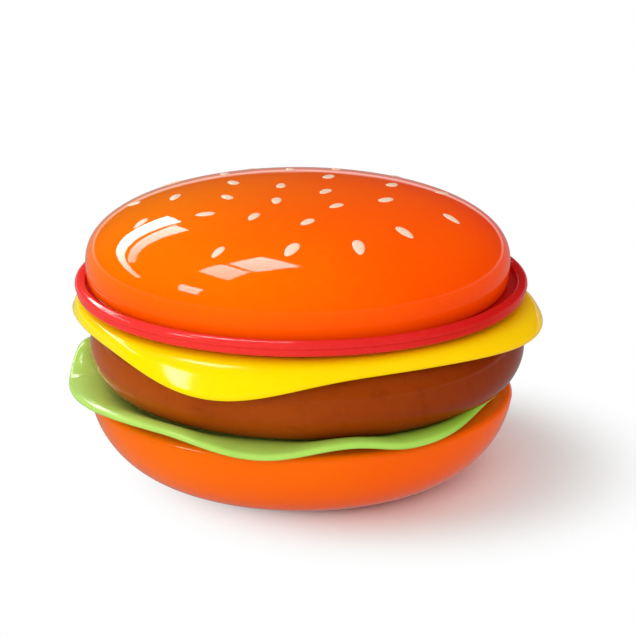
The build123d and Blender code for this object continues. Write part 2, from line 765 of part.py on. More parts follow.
with BuildPart() as microphone_capsule:
    add(tube(patty_top_z - boot_height, microphone_height, microphone_radius, 0, (0, microphone_y)))
finish(microphone_capsule, "microphone_capsule")

with BuildPart() as hook_plunger:
    extrude(discs(hook_flange_z, hook_stem_radius, [(0, hook_y)]), amount=hook_top_z - hook_flange_z)
    fillet(hook_plunger.faces().sort_by(Axis.Z)[-1].edges(), hook_stem_edge)
    extrude(discs(hook_flange_z, hook_flange_radius, [(0, hook_y)]), amount=hook_flange_height)
    extrude(discs(hook_rod_z, hook_rod_radius, [(0, hook_y)]), amount=hook_flange_z - hook_rod_z)
finish(hook_plunger, "hook_plunger")

with BuildPart() as hook_switch:
    extrude(plates(keypad_board_z - hook_switch_height, hook_switch_width, hook_switch_depth,
                   [(0, hook_y)]), amount=hook_switch_height)
    extrude(discs(hook_rod_z - hook_well_depth, hook_rod_radius + running_clearance,
                  [(0, hook_y)]), amount=keypad_board_z - hook_rod_z + hook_well_depth,
            mode=Mode.SUBTRACT)
finish(hook_switch, "hook_switch")

spring_wire = 0.5
spring_turns = 3
spring_mean_radius = hook_flange_radius - 0.9
spring_height = hook_flange_z - keypad_board_top_z - 2 * running_clearance - spring_wire

with BuildPart() as hook_spring:
    with BuildLine():
        coil = Helix(spring_height / spring_turns, spring_height, spring_mean_radius,
                     center=(0, hook_y, keypad_board_top_z + running_clearance + spring_wire / 2))
    with BuildSketch(Plane(origin=coil @ 0, z_dir=coil % 0)):
        Circle(spring_wire / 2)
    sweep(is_frenet=True)
finish(hook_spring, "hook_spring")

with BuildPart() as closing_bumpers:
    extrude(discs(deck_top_z, bumper_radius, bumper_places), amount=bumper_height)
    fillet(closing_bumpers.faces().group_by(Axis.Z)[-1].edges(), bumper_edge)
finish(closing_bumpers, "closing_bumpers")

with BuildPart() as keypad_ribbon:
    extrude(plates(main_board_top_z, ribbon_width, ribbon_thickness, [(0, ribbon_y)]),
            amount=keypad_board_z - main_board_top_z)
finish(keypad_ribbon, "keypad_ribbon")

# ---- Main board with its parts, on posts over the ballast

chip_height = 3.2
chip_width = 22.0
chip_depth = 7.0
chip_place = (6.0, -12.0)
rectifier_width = 6.0
rectifier_depth = 8.0
rectifier_place = (-20.0, -13.0)
capacitors = [(18.0, 12.0, 4.0, 11.0), (18.0, 2.5, 3.0, 8.0), (25.0, 6.0, 2.0, 6.0)]
sounder_place = (-13.0, 4.0)
sounder_radius = 12.0
sounder_height = 5.0
sounder_wall = 1.2
disc_thickness = 0.6

with BuildPart() as main_board:
    extrude(plates(main_board_z, main_board_width, main_board_depth, [(0, 0)], board_corner),
            amount=board_thickness)
    extrude(discs(main_board_z, screw_radius + hole_clearance, board_post_places),
            amount=board_thickness, mode=Mode.SUBTRACT)
finish(main_board, "main_board")

with BuildPart() as board_screws:
    add(screws(main_board_top_z, board_screw_length, board_post_places, up=False))
finish(board_screws, "board_screws")

with BuildPart() as dialler_chip:
    extrude(plates(main_board_top_z, chip_width, chip_depth, [chip_place]), amount=chip_height)
finish(dialler_chip, "dialler_chip")

with BuildPart() as bridge_rectifier:
    extrude(plates(main_board_top_z, rectifier_width, rectifier_depth, [rectifier_place]),
            amount=chip_height)
finish(bridge_rectifier, "bridge_rectifier")

with BuildPart() as capacitor_set:
    for x, y, radius, height in capacitors:
        extrude(discs(main_board_top_z, radius, [(x, y)]), amount=height)
finish(capacitor_set, "capacitors")

with BuildPart() as sounder_cup:
    add(tube(main_board_top_z, sounder_height, sounder_radius, sounder_radius - sounder_wall,
             sounder_place))
    add(tube(main_board_top_z, sounder_height / 2, sounder_radius,
             sounder_radius - 2 * sounder_wall, sounder_place))
finish(sounder_cup, "sounder_cup")

with BuildPart() as sounder_disc:
    extrude(discs(main_board_top_z + sounder_height / 2,
                  sounder_radius - sounder_wall - thread_clearance, [sounder_place]),
            amount=disc_thickness)
finish(sounder_disc, "sounder_disc")

ballast_width = 46.0
ballast_depth = 30.0
ballast_corner = 3.0
ballast_head_height = 1.4
ballast_head_overlap = 1.0

with BuildPart() as ballast_weight:
    extrude(plates(inner_floor_z, ballast_width, ballast_depth, [(0, 0)], ballast_corner),
            amount=ballast_height)
    extrude(discs(inner_floor_z, board_post_radius + hole_clearance, ballast_post_places),
            amount=ballast_height, mode=Mode.SUBTRACT)
finish(ballast_weight, "ballast_weight")

with BuildPart() as ballast_screws:
    add(screws(inner_floor_z + ballast_height, ballast_screw_length, ballast_post_places, up=False,
               head=(board_post_radius + ballast_head_overlap, ballast_head_height)))
finish(ballast_screws, "ballast_screws")

# ---- Line socket at the back, with its contacts

socket_clearance = 0.05
mouth_z = socket_z + (socket_height - socket_mouth_height) / 2
contact_pitch = 1.02
contact_radius = 0.25
contact_setback = 1.5
contact_count = 4

with BuildPart() as line_socket:
    extrude(plates(socket_z + socket_clearance, socket_width - 2 * socket_clearance, socket_depth,
                   [(0, socket_face_y - socket_depth / 2)]),
            amount=socket_height - 2 * socket_clearance)
    extrude(plates(mouth_z, socket_mouth_width, socket_mouth_depth,
                   [(0, socket_face_y - socket_mouth_depth / 2)]),
            amount=socket_mouth_height, mode=Mode.SUBTRACT)
finish(line_socket, "line_socket")

with BuildPart() as socket_contacts:
    contact_top_z = mouth_z + socket_mouth_height - contact_radius - socket_clearance
    for index in range(contact_count):
        contact_x = contact_pitch * (index - (contact_count - 1) / 2)
        with BuildSketch(Plane.XZ.offset(contact_setback - socket_face_y)):
            with Locations((contact_x, contact_top_z)):
                Circle(contact_radius)
        extrude(amount=socket_mouth_depth - contact_setback)
finish(socket_contacts, "socket_contacts")

# ---- Underside: sliding switches, base screws and feet

switch_body_height = 6.0
slider_low_z = foot_height + 0.2
slider_plate_z = inner_floor_z + 0.3
slider_plate_height = 1.4
switch_wall = 1.2
slider_plate_margin = 1.6
slider_corner = 0.5
foot_places = [polar(35.0, 90 * index) for index in range(4)]
foot_radius = 4.5
foot_depth = 0.8

# the ringer slider rests in the middle of its slot, the dial mode slider at one end
for switch_name, place, travel, rest in [("ringer", slider_places[0], ringer_travel, 0),
                                         ("dial_mode", slider_places[1], dial_travel, -dial_travel)]:
    with BuildPart() as slider:
        knob_place = (place[0] + rest, place[1])
        extrude(plates(slider_low_z, slider_width, slider_depth, [knob_place], slider_corner),
                amount=slider_plate_z - slider_low_z)
        extrude(plates(slider_plate_z, slider_width + slider_plate_margin,
                       slider_depth + slider_plate_margin, [knob_place]), amount=slider_plate_height)
    finish(slider, f"{switch_name}_slider")
    with BuildPart() as switch_body:
        room_width = slider_width + slider_plate_margin + 2 * (travel + slider_gap)
        room_depth = slider_depth + slider_plate_margin + 2 * slider_gap
        extrude(plates(inner_floor_z, room_width + 2 * switch_wall, room_depth + 2 * switch_wall,
                       [place]), amount=switch_body_height)
        extrude(plates(inner_floor_z, room_width, room_depth, [place]),
                amount=slider_plate_z + slider_plate_height + slider_gap - inner_floor_z,
                mode=Mode.SUBTRACT)
    finish(switch_body, f"{switch_name}_switch")

with BuildPart() as base_screws:
    add(screws(base_screw_head_z + screw_head_height, base_screw_length, base_screw_places))
finish(base_screws, "base_screws")

with BuildPart() as rubber_feet:
    extrude(discs(0, foot_radius, foot_places), amount=foot_depth)
finish(rubber_feet, "rubber_feet")
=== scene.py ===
import json
from math import cos, pi, radians, sin

import bmesh
import bpy
import numpy as np
from mathutils import Matrix, Vector


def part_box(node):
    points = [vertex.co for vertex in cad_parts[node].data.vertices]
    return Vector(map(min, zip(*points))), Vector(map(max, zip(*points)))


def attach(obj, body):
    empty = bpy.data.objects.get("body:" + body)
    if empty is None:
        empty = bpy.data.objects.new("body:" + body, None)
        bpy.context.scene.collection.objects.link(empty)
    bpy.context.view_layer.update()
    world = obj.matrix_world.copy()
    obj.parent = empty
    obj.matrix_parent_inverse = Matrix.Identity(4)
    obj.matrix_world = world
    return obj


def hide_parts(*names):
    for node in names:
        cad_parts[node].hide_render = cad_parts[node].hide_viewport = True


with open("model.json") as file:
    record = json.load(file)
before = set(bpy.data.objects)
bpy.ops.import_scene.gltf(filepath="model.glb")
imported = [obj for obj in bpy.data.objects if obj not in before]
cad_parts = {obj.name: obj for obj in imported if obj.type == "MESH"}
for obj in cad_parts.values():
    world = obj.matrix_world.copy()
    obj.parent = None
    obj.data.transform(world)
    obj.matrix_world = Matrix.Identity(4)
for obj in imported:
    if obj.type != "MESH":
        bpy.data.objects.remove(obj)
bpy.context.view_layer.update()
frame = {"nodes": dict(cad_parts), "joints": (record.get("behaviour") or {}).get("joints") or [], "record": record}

# ------------------------------------------------------------------ sizes, in metres
# Levels and places come from the frame; the sizes of the food layers are named here.

MM = 0.001


def low(node, axis=2):
    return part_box(node)[0][axis]


def high(node, axis=2):
    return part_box(node)[1][axis]


rim_seat_z = high("bottom_bun_shell")
patty_low_z = low("patty_ring")
patty_high_z = high("patty_ring")
deck_top_z = low("closing_bumpers")
deck_low_z = high("microphone_boot")
plate_top_z = low("receiver_gasket")
plate_low_z = plate_top_z - 2.0 * MM
hinge = next(joint for joint in frame["joints"] if joint["name"] == "lid_hinge")
hinge_y, hinge_z = hinge["pos_m"][1], hinge["pos_m"][2]
shell_wall = 2.4 * MM

bun_radius = 60.9 * MM
bun_dome_height = 21.1 * MM
bun_foot_radius = 59.0 * MM
bun_shift = (-0.84 * MM, 0.39 * MM)
bun_equator_z = plate_top_z + 6.6 * MM
bun_powers = (2.15, 2.41)

bowl_radius = 61.5 * MM
bowl_flat_radius = 41.0 * MM
bowl_power = 1.8
bowl_rim_round = 1.6 * MM
bowl_flange_radius = 50.5 * MM

patty_radius = 62.8 * MM
patty_bulge = 10.9 * MM
patty_inner_radius = 49.5 * MM
patty_shift = (1.6 * MM, -0.8 * MM)

rim_radius = 65.0 * MM
rim_width = 3.2 * MM
rim_height = 4.4 * MM
plate_joint_radius = 52.0 * MM

cheese_thickness = 2.3 * MM
cheese_joint_radius = 51.0 * MM

leaf_thickness = 2.2 * MM
leaf_inner_radius = 48.0 * MM

around = np.radians(np.linspace(0, 360, 361))


# ------------------------------------------------------------------ shapes

def place(radius, azimuth, height):
    """Points at a radius and azimuth from the front towards +X: (r sin a, -r cos a, z)."""
    x, y = radius * np.sin(azimuth), -radius * np.cos(azimuth)
    return np.stack(np.broadcast_arrays(x, y, height), -1)


def surface(name, points, crease=None):
    """A mesh of quads between neighbouring points of a grid, seams and poles merged."""
    rows, columns = points.shape[:2]
    index = np.arange(rows * columns).reshape(rows, columns)
    quads = np.stack([index[:-1, :-1], index[:-1, 1:], index[1:, 1:], index[1:, :-1]], -1).reshape(-1, 4)
    mesh = bpy.data.meshes.new(name)
    mesh.vertices.add(rows * columns)
    mesh.vertices.foreach_set("co", np.ascontiguousarray(points, dtype=np.float32).ravel())
    mesh.loops.add(quads.size)
    mesh.loops.foreach_set("vertex_index", quads.ravel().astype(np.int32))
    mesh.polygons.add(len(quads))
    mesh.polygons.foreach_set("loop_start", np.arange(0, quads.size, 4, dtype=np.int32))
    mesh.update(calc_edges=True)
    tidy(mesh)
    mesh.shade_smooth()
    if crease:
        mesh.set_sharp_from_angle(angle=radians(crease))
    piece = bpy.data.objects.new(name, mesh)
    bpy.context.scene.collection.objects.link(piece)
    return piece


def tidy(mesh, reach=1e-6):
    """Merges doubled points and turns the faces outwards."""
    work = bmesh.new()
    work.from_mesh(mesh)
    bmesh.ops.remove_doubles(work, verts=work.verts, dist=reach)
    bmesh.ops.dissolve_degenerate(work, edges=work.edges, dist=reach / 2)
    bmesh.ops.recalc_face_normals(work, faces=work.faces)
    work.to_mesh(mesh)
    work.free()


def revolved(name, profile, shift=(0, 0), crease=None):
    """A closed profile of (radius, height) points turned about the vertical through shift."""
    profile = np.asarray(profile)
    points = place(profile[:, None, 0], around[None, :], profile[:, None, 1])
    points[..., 0] += shift[0]
    points[..., 1] += shift[1]
    return surface(name, points, crease)


def quarter(centre, radii, powers, start, stop, count=40):
    """Points of |x/a|^p + |z/b|^q = 1 about a centre, for angles in degrees from the x axis."""
    angle = np.radians(np.linspace(start, stop, count))
    across = np.abs(np.cos(angle)) ** (2 / powers[0]) * np.sign(np.cos(angle).round(9))
    up = np.abs(np.sin(angle)) ** (2 / powers[1]) * np.sign(np.sin(angle).round(9))
    return np.stack([centre[0] + radii[0] * across, centre[1] + radii[1] * up], -1)


def half_wave(entries, azimuth):
    """Values round the axis: half a cosine wave from each listed entry to the next."""
    table = np.array(entries, float)
    turned = (np.degrees(azimuth) - table[0, 0]) % 360 + table[0, 0]
    before = np.clip(np.searchsorted(table[:, 0], turned, side="right") - 1, 0, len(table) - 2)
    share = (turned - table[before, 0]) / (table[before + 1, 0] - table[before, 0])
    blend = ((1 - np.cos(pi * share)) / 2)[..., None]
    return table[before, 1:] * (1 - blend) + table[before + 1, 1:] * blend


def rounded_sheet(centre_line, thickness, cap_steps=9):
    """A closed section round a centre line of (radius, height) columns: its upper side one half
    thickness along the normal, a half-round end, and its lower side back to the start."""
    run = np.gradient(centre_line, axis=0)
    run /= np.linalg.norm(run, axis=-1, keepdims=True)
    normal = np.stack([-run[..., 1], run[..., 0]], -1)
    half = np.broadcast_to(np.asarray(thickness) / 2, centre_line.shape[:-1])[..., None]
    upper = centre_line + normal * half
    lower = centre_line - normal * half
    turn = np.linspace(pi / 2, -pi / 2, cap_steps)[1:-1]
    cap = (centre_line[-1] + run[-1] * np.cos(turn)[:, None, None] * half[-1]
           + normal[-1] * np.sin(turn)[:, None, None] * half[-1])
    return np.concatenate([upper, cap, lower[::-1], upper[:1]])


def ringed(name, section, crease=None):
    """A section of (radius, height) that changes with the azimuth, carried round the axis."""
    return surface(name, place(section[..., 0], around[None, :], section[..., 1]), crease)


# ------------------------------------------------------------------ top bun and its seeds

def make_top_bun():
    """Outside: a superellipse dome, |r/R|^2.15 + |z/H|^2.41 = 1, tucked in below its widest
    ring by a quarter ellipse; inside: the same curve smaller by the wall."""
    dome = quarter((0, bun_equator_z), (bun_radius, bun_dome_height), bun_powers, 90, 0, 90)
    tuck = quarter((bun_foot_radius, bun_equator_z),
                   (bun_radius - bun_foot_radius, bun_equator_z - plate_top_z), (2, 2), 0, -90, 24)
    inner = quarter((0, bun_equator_z), (bun_radius - shell_wall, bun_dome_height - shell_wall),
                    bun_powers, 0, 90, 60)
    inner_foot = [(bun_foot_radius - shell_wall, plate_top_z)]
    profile = np.concatenate([dome, tuck[1:], inner_foot, inner])
    piece = revolved("top_bun", profile, bun_shift, crease=50)
    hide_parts("top_bun_shell")
    return piece


def bun_height(distance):
    """Height of the dome over its equator at a distance from its axis."""
    share = np.clip(distance / bun_radius, 0, 0.999)
    return bun_equator_z + bun_dome_height * (1 - share ** bun_powers[0]) ** (1 / bun_powers[1])


# distance from the crown in mm, azimuth, turn out of the line to the crown, length in mm
seed_places = [
    (5.0, -130, -78, 5.4), (9.2, 33, -84, 5.6), (15.2, -48, 21, 5.6), (16.5, 122, 15, 6.2),
    (20.8, 6, -75, 5.2), (20.3, -138, -45, 6.0), (21.5, -93, -81, 5.4), (26.4, 45, 72, 6.0),
    (26.8, 160, 20, 5.0), (28.6, -50, 0, 5.4), (28.8, 84, 48, 6.0), (30.5, -20, -45, 5.2),
    (32.9, -76, -48, 5.6), (33.0, 135, 25, 5.6), (34.0, -165, -30, 5.6), (35.0, -114, 78, 6.0),
    (42.7, 18, -3, 6.4), (43.9, 82, 35, 6.0), (45.2, 47, -30, 6.0), (45.6, -4, -15, 6.6),
    (45.3, -27, -27, 6.4), (48.5, -51, -12, 4.8), (46.8, -94, 35, 5.6), (47.9, -122, -40, 6.0),
    (46.0, 115, 20, 5.8), (47.0, 146, -20, 6.0), (45.5, 174, 15, 5.8), (46.5, -152, 25, 6.0),
]
seed_thickness = 0.28 * MM
seed_width_share = 0.5


def make_seeds():
    """Each seed is a teardrop: half width sin(u) (1 - 0.16 cos(u)) along its length, domed by
    (1 - s^4) across, and laid on the dome by the height of the bun under each point."""
    rings, spokes = 9, 28
    spread = np.linspace(0, 1, rings)[:, None]
    angle = np.linspace(0, 2 * pi, spokes + 1)[None, :]
    work = bmesh.new()
    for distance, azimuth, turn, length in seed_places:
        along = np.cos(angle) * length / 2 * MM
        across = np.sin(angle) * (1 - 0.16 * np.cos(angle)) * length / 2 * MM * seed_width_share
        facing = radians(azimuth)
        twist = radians(turn)
        radial = distance * MM + spread * (along * cos(twist) - across * sin(twist))
        side = spread * (along * sin(twist) + across * cos(twist))
        x = bun_shift[0] + radial * sin(facing) + side * cos(facing)
        y = bun_shift[1] - radial * cos(facing) + side * sin(facing)
        base = bun_height(np.hypot(x - bun_shift[0], y - bun_shift[1]))
        top = base + seed_thickness * (1 - spread ** 4) + 0.02 * MM
        sheets = [np.stack([x, y, top], -1), np.stack([x, y, base - 0.1 * MM], -1)]
        points = np.concatenate([sheets[0], sheets[1][::-1]])
        part = surface("seed", points)
        work.from_mesh(part.data)
        bpy.data.objects.remove(part)
    mesh = bpy.data.meshes.new("seeds")
    work.to_mesh(mesh)
    work.free()
    mesh.shade_smooth()
    piece = bpy.data.objects.new("bun_seeds", mesh)
    bpy.context.scene.collection.objects.link(piece)
    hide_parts("sesame_seeds")
    return piece


# ------------------------------------------------------------------ plates, cuts and bars

screw_head_radius = 2.6 * MM
screw_hole_radius = 2.8 * MM


def screw_places(node):
    """Places of a group of four screws, from the corners of the group's box."""
    near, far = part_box(node)
    return [(x, y) for x in (near.x + screw_head_radius, far.x - screw_head_radius)
            for y in (near.y + screw_head_radius, far.y - screw_head_radius)]


def disc_outline(radius, centre=(0, 0), count=96):
    """Points of a circle."""
    angle = np.linspace(0, 2 * pi, count, endpoint=False)
    return np.stack([centre[0] + radius * np.cos(angle), centre[1] + radius * np.sin(angle)], -1)


def block_outline(width, depth, corner, centre=(0, 0), steps=7):
    """Points of a rectangle with rounded corners."""
    turn = np.linspace(0, pi / 2, steps)
    points = []
    for quarter_turn, (side_x, side_y) in enumerate([(1, 1), (-1, 1), (-1, -1), (1, -1)]):
        angle = turn + quarter_turn * pi / 2
        x = centre[0] + side_x * (width / 2 - corner) + corner * np.cos(angle)
        y = centre[1] + side_y * (depth / 2 - corner) + corner * np.sin(angle)
        points.append(np.stack([x, y], -1))
    return np.concatenate(points)


def panel(name, outline, holes, low_z, high_z, edge=0.25 * MM):
    """A flat plate with windows: a filled flat curve, thickened, its edges eased."""
    curve = bpy.data.curves.new(name, "CURVE")
    curve.dimensions = "2D"
    curve.fill_mode = "BOTH"
    for loop in [outline] + holes:
        spline = curve.splines.new("POLY")
        spline.points.add(len(loop) - 1)
        flat = np.concatenate([loop, np.zeros((len(loop), 1)), np.ones((len(loop), 1))], 1)
        spline.points.foreach_set("co", flat.ravel())
        spline.use_cyclic_u = True
    curve.extrude = (high_z - low_z) / 2 - edge
    curve.bevel_depth = edge
    curve.bevel_resolution = 2
    curve.offset = -edge
    return flattened(name, curve, Matrix.Translation((0, 0, (low_z + high_z) / 2)))


def evaluated(piece):
    """The mesh of a piece once its curves and modifiers are worked out."""
    graph = bpy.context.evaluated_depsgraph_get()
    return bpy.data.meshes.new_from_object(piece.evaluated_get(graph))


def flattened(name, curve, where, crease=30):
    """A curve or text turned into a mesh and put in its place."""
    holder = bpy.data.objects.new(name, curve)
    bpy.context.scene.collection.objects.link(holder)
    mesh = evaluated(holder)
    bpy.data.objects.remove(holder)
    mesh.transform(where)
    tidy(mesh)
    mesh.shade_smooth()
    mesh.set_sharp_from_angle(angle=radians(crease))
    mesh.materials.clear()
    piece = bpy.data.objects.new(name, mesh)
    bpy.context.scene.collection.objects.link(piece)
    return piece


def carve(piece, cutters, crease=30):
    """Cuts solids out of a piece, drops them and keeps the new edges sharp."""
    for cutter in cutters:
        cut = piece.modifiers.new("cut", "BOOLEAN")
        cut.operation = "DIFFERENCE"
        cut.solver = "EXACT"
        cut.object = cutter
    bpy.context.view_layer.update()
    mesh = evaluated(piece)
    mesh.set_sharp_from_angle(angle=radians(crease))
    piece.modifiers.clear()
    piece.data = mesh
    for cutter in cutters:
        bpy.data.objects.remove(cutter)


def prism(name, outline, start, stop, axis="Z", edge=0.0, crease=30):
    """A closed flat outline carried straight along an axis, its ends closed and eased by an edge:
    the outline shrinks towards its middle by the edge at each end."""
    outline = np.asarray(outline)
    middle = outline.mean(0)
    reach = np.linalg.norm(outline - middle, axis=1).mean()
    shrink = 1 - abs(edge) / reach
    way = np.sign(stop - start) * abs(edge)
    scales = [0, shrink, 1, 1, shrink, 0]
    stations = [start, start, start + way, stop - way, stop, stop]
    grid = middle + np.array(scales)[:, None, None] * (outline - middle)
    along = np.broadcast_to(np.array(stations)[:, None, None], grid.shape[:2] + (1,))
    parts = [along, grid[..., :1], grid[..., 1:]]
    if axis == "Z":
        parts = parts[1:] + parts[:1]
    points = np.concatenate(parts, -1)
    return surface(name, np.concatenate([points, points[:, :1]], 1), crease)


def joined(name, parts):
    """Several meshes as one piece."""
    work = bmesh.new()
    for part in parts:
        work.from_mesh(part.data)
        bpy.data.objects.remove(part)
    mesh = bpy.data.meshes.new(name)
    work.to_mesh(mesh)
    work.free()
    piece = bpy.data.objects.new(name, mesh)
    bpy.context.scene.collection.objects.link(piece)
    return piece


# ------------------------------------------------------------------ hinge knuckles

knuckle_radius = 3.0 * MM
knuckle_space = 0.6 * MM
lid_knuckle_half = 7.8 * MM
base_knuckle_start = 8.0 * MM
pin_half = high("hinge_pin", 0)


def barrel(name, radius, start_x, stop_x, edge=0.0):
    """A cylinder round the hinge's axis."""
    return prism(name, disc_outline(radius, (hinge_y, hinge_z), 72), start_x, stop_x, "X", edge)


def hinge_point(back, up):
    """A point of a hinge arm, measured from the hinge's axis in mm."""
    return (hinge_y + back * MM, hinge_z + up * MM)


def make_base_knuckles():
    """Two barrels with wedge-shaped arms down the back of the cheese."""
    arm = [hinge_point(-5, -0.7), hinge_point(-2.6, -5.3), hinge_point(-0.2, -3), hinge_point(0, 0)]
    parts = []
    for side in (-1, 1):
        start, stop = side * base_knuckle_start, side * (pin_half - 0.1 * MM)
        parts.append(barrel("barrel", knuckle_radius, start, stop, 0.35 * MM))
        parts.append(prism("arm", arm, start, stop, "X", 0.2 * MM))
    piece = joined("cheese_knuckles", parts)
    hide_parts("cheese_deck")
    return piece


def make_lid_knuckle():
    """The middle barrel with the arm that joins it to the tray."""
    arm = [hinge_point(-4.7, 2.6), hinge_point(-4.7, 0.6), hinge_point(0, 0), hinge_point(3, 0),
           hinge_point(-0.6, 4.5)]
    parts = [barrel("barrel", knuckle_radius, -lid_knuckle_half, lid_knuckle_half, 0.35 * MM),
             prism("arm", arm, -lid_knuckle_half, lid_knuckle_half, "X", 0.2 * MM)]
    piece = joined("tomato_knuckle", parts)
    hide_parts("tomato_plate")
    return piece


# ------------------------------------------------------------------ tomato tray

receiver_y = (low("receiver_capsule", 1) + high("receiver_capsule", 1)) / 2
receiver_hole_radius = 1.1 * MM
receiver_hole_rings = [(0.0, 1), (4.5 * MM, 6), (9.0 * MM, 12)]


def make_tomato_rim():
    """The rim of the tray, turned from a profile: a flat plate that ends in a bead, round on
    top, with a low band set back by a small step under it."""
    outer = rim_radius
    top = plate_low_z + rim_height
    bead = rim_width / 2
    step_z = plate_low_z + 2.3 * MM
    band = outer - 0.4 * MM
    inner = outer - rim_width
    root = 0.5 * MM
    profile = np.concatenate([
        [(plate_joint_radius, plate_top_z)],
        quarter((inner - root, plate_top_z + root), (root, root), (2, 2), -90, 0, 6),
        quarter((outer - bead, top - bead), (bead, bead), (2, 2.2), 180, 0, 33),
        quarter((outer - 0.35 * MM, step_z + 0.5 * MM), (0.35 * MM, 0.5 * MM), (2, 2), 0, -80, 12),
        quarter((band - 0.3 * MM, step_z - 0.25 * MM), (0.3 * MM, 0.25 * MM), (2, 2), 80, 0, 6),
        quarter((band - 1.3 * MM, plate_low_z + 1.2 * MM), (1.3 * MM, 1.2 * MM), (2, 2), 0, -90, 12),
        [(plate_joint_radius, plate_low_z), (plate_joint_radius, plate_top_z)]])
    piece = revolved("tomato_rim", profile, crease=38)
    carve(piece, [barrel("room", knuckle_radius + knuckle_space, side * lid_knuckle_half,
                         side * (pin_half + knuckle_space)) for side in (-1, 1)])
    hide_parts("tomato_plate")
    return piece


def make_tomato_floor():
    """The floor of the tray: a disc with the receiver's holes and those of the lid's screws."""
    holes = [disc_outline(screw_hole_radius, at, 40) for at in screw_places("lid_screws")]
    for ring_radius, count in receiver_hole_rings:
        for turn in 2 * pi * np.arange(count) / count:
            at = (ring_radius * sin(turn), receiver_y - ring_radius * cos(turn))
            holes.append(disc_outline(receiver_hole_radius, at, 28))
    piece = panel("tomato_floor", disc_outline(plate_joint_radius, count=360), holes,
                  plate_low_z, plate_top_z)
    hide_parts("tomato_plate")
    return piece


# ------------------------------------------------------------------ cheese

# azimuth of a corner of the slice, how far it hangs below the sides, how far it reaches out, in mm
cheese_corners = [(-45, 5.0, 6.0), (45, 1.0, 6.0), (135, 3.0, 6.0), (-135, 2.5, 3.0)]
cheese_side_end = (63.3 * MM, 47.35 * MM)
cheese_fold_start = 59.5 * MM
slot_x = [-3.0 * MM, 0.0, 3.0 * MM]
hook_hole_radius = 2.1 * MM


def make_cheese():
    """The slice: flat on top, then a cubic curve in each azimuth a down to an edge that reaches
    out by sin(2a)^2 and hangs lower by cos(2d)^4, d being the turn from a corner."""
    corner = np.sin(2 * around) ** 2
    hang = np.zeros_like(around)
    reach = np.zeros_like(around)
    for azimuth, drop, length in cheese_corners:
        turn = around - radians(azimuth)
        near = np.cos(turn) > cos(pi / 4)
        hang = np.where(near, drop * MM * np.cos(2 * turn) ** 4, hang)
        reach = np.where(near, length * MM * corner, reach)
    half = cheese_thickness / 2
    level = deck_top_z - half
    start = np.stack([np.full_like(around, cheese_fold_start), np.full_like(around, level)], -1)
    end = np.stack([cheese_side_end[0] + reach, cheese_side_end[1] - hang], -1)
    slope = np.radians(84 - 26 * corner)
    run = (1.4 + 3.6 * corner) * MM
    second = np.stack([63.2 * MM + 2.0 * MM * corner, np.full_like(around, level)], -1)
    third = end + np.stack([-run * np.cos(slope), run * np.sin(slope)], -1)
    share = np.linspace(0, 1, 40)[:, None, None]
    bend = ((1 - share) ** 3 * start + 3 * share * (1 - share) ** 2 * second
            + 3 * share ** 2 * (1 - share) * third + share ** 3 * end)
    flat = np.stack([np.full_like(around, cheese_joint_radius), np.full_like(around, level)], -1)
    steps = np.linspace(0, 1, 8, endpoint=False)[:, None, None]
    section = rounded_sheet(np.concatenate([flat + (start - flat) * steps, bend]), cheese_thickness)
    piece = ringed("cheese_slice", section, crease=60)
    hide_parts("cheese_deck")
    return piece


digit_nodes = ["key_1", "key_2", "key_3", "key_4", "key_5", "key_6", "key_7", "key_8", "key_9",
               "key_star", "key_0", "key_hash"]
function_nodes = ["key_redial", "key_flash", "key_mute"]
key_flange = 1.0 * MM
key_corner = 2.0 * MM
key_window_gap = 0.6 * MM


def key_place(node):
    """Middle of a key and the size of its cap, without its flange."""
    near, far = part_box(node)
    middle = (near + far) / 2
    return middle.x, middle.y, far.x - near.x - 2 * key_flange, far.y - near.y - 2 * key_flange


def make_cheese_panel():
    """The flat of the slice, with a window round each key, slots and the hook's hole."""
    windows = []
    for node in digit_nodes + function_nodes:
        x, y, width, depth = key_place(node)
        windows.append(block_outline(width + key_window_gap, depth + key_window_gap, key_corner, (x, y)))
    microphone_y = (low("microphone_boot", 1) + high("microphone_boot", 1)) / 2
    for x in slot_x:
        windows.append(block_outline(1.2 * MM, 6.0 * MM, 0.55 * MM, (x, microphone_y)))
    hook_y = (low("hook_plunger", 1) + high("hook_plunger", 1)) / 2
    windows.append(disc_outline(hook_hole_radius, (0, hook_y), 40))
    piece = panel("cheese_panel", disc_outline(cheese_joint_radius, count=360), windows,
                  deck_low_z, deck_top_z)
    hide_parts("cheese_deck")
    return piece


# ------------------------------------------------------------------ patty, lettuce, bottom bun

def make_patty():
    """Barrel ring turned about its own axis: the outer half of an ellipse, hollow inside."""
    middle_z = (patty_low_z + patty_high_z) / 2
    half = (patty_high_z - patty_low_z) / 2
    centre = patty_radius - patty_bulge
    outside = quarter((centre, middle_z), (patty_bulge, half), (2, 2), 90, -90, 100)
    inside = quarter((centre, middle_z), (patty_bulge - shell_wall, half - shell_wall),
                     (2, 2), -90, 90, 60)
    rims = [(patty_inner_radius, patty_low_z), (patty_inner_radius, patty_low_z + shell_wall)]
    lips = [(patty_inner_radius, patty_high_z - shell_wall), (patty_inner_radius, patty_high_z)]
    profile = np.concatenate([outside, rims, inside, lips, outside[:1]])
    piece = revolved("patty", profile, patty_shift, crease=40)
    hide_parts("patty_ring")
    return piece


# a crest or a trough of the leaf's edge: azimuth, radius in mm, height of its underside in mm
leaf_waves = [
    (-110, 67.6, 24.0), (-62, 65.0, 26.3), (-35, 66.6, 23.6), (-13, 66.4, 26.7), (2, 66.4, 24.7),
    (38, 60.2, 26.6), (60, 60.3, 26.3), (100, 66.6, 24.0), (130, 65.0, 26.5), (155, 66.8, 24.0),
    (180, 65.0, 26.0), (206, 66.5, 23.8), (234, 66.8, 29.4), (250, 67.6, 24.0),
]
leaf_fold_start = 56.0 * MM
leaf_hump_start = 54.0 * MM
leaf_hump_height = 1.1 * MM


